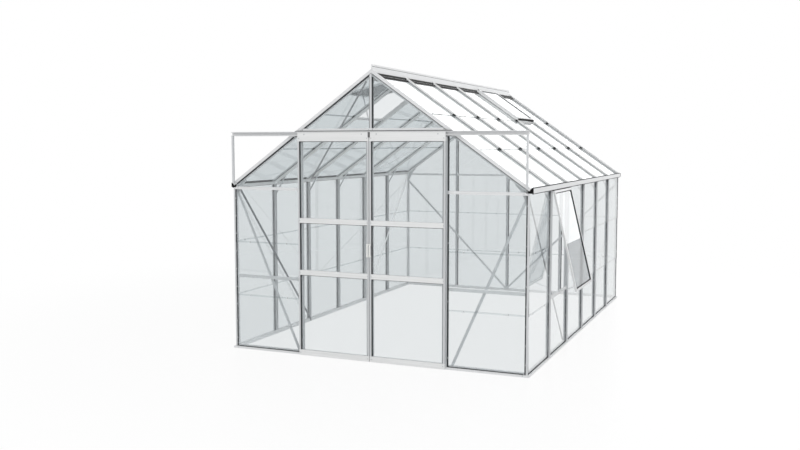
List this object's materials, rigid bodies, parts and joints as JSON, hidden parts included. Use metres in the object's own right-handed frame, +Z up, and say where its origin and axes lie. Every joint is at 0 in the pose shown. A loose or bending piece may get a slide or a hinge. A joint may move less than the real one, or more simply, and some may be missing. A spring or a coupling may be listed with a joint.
{
  "type": "greenhouse",
  "caption": "Aluminium and glass garden greenhouse with a pitched roof, gutters, roof vents, a top-hung side window and double sliding doors hung on a track across the front gable.",
  "frame": {"origin": "middle of the front sill's underside, on the ground, in the front gable's bar plane", "axes": "+X to the right across the front gable, +Y from the front gable to the back, +Z up"},
  "size_m": [2.7584, 3.837, 2.316],
  "materials": {
    "frame_aluminium": "mill satin",
    "door_aluminium": "anodised satin",
    "horticultural_glass": "clear float",
    "black_plastic": "moulded",
    "white_plastic": "moulded"
  },
  "bodies": {
    "frame": {"front_sill": "frame_aluminium", "back_sill": "frame_aluminium", "left_sill": "frame_aluminium", "right_sill": "frame_aluminium", "corner_posts": "frame_aluminium", "left_wall_bars": "frame_aluminium", "right_wall_bars": "frame_aluminium", "front_gable_posts": "frame_aluminium", "back_gable_posts": "frame_aluminium", "left_gutter": "frame_aluminium", "right_gutter": "frame_aluminium", "gutter_end_caps": "black_plastic", "gable_rafters": "frame_aluminium", "left_roof_bars": "frame_aluminium", "right_roof_bars": "frame_aluminium", "ridge_bar": "frame_aluminium", "eave_rails": "frame_aluminium", "front_mid_rails": "frame_aluminium", "door_header": "frame_aluminium", "door_track": "frame_aluminium", "track_posts": "frame_aluminium", "gable_braces": "frame_aluminium", "side_wall_braces": "frame_aluminium", "roof_braces": "frame_aluminium", "knee_braces": "frame_aluminium", "eave_gussets": "frame_aluminium", "left_wall_glass": "horticultural_glass", "right_wall_glass": "horticultural_glass", "front_gable_glass": "horticultural_glass", "back_gable_glass": "horticultural_glass", "left_roof_glass": "horticultural_glass", "right_roof_glass": "horticultural_glass", "roof_vent_frames": "frame_aluminium", "side_window_frame": "frame_aluminium", "vent_and_window_panes": "horticultural_glass", "vent_and_window_sills": "frame_aluminium", "vent_and_window_stays": "frame_aluminium"},
    "left_door": {"left_door_stiles": "door_aluminium", "left_door_rails": "door_aluminium", "left_door_glass": "horticultural_glass", "left_door_rollers": "black_plastic", "left_door_handle": "white_plastic"},
    "right_door": {"right_door_stiles": "door_aluminium", "right_door_rails": "door_aluminium", "right_door_glass": "horticultural_glass", "right_door_rollers": "black_plastic", "right_door_handle": "white_plastic"}
  },
  "joints": [
    {"name": "left_door_slide", "type": "slide", "parent": "frame", "child": "left_door", "axis": [-1, 0, 0], "range_m": [0, 0.6]},
    {"name": "right_door_slide", "type": "slide", "parent": "frame", "child": "right_door", "axis": [1, 0, 0], "range_m": [0, 0.6]}
  ]
}
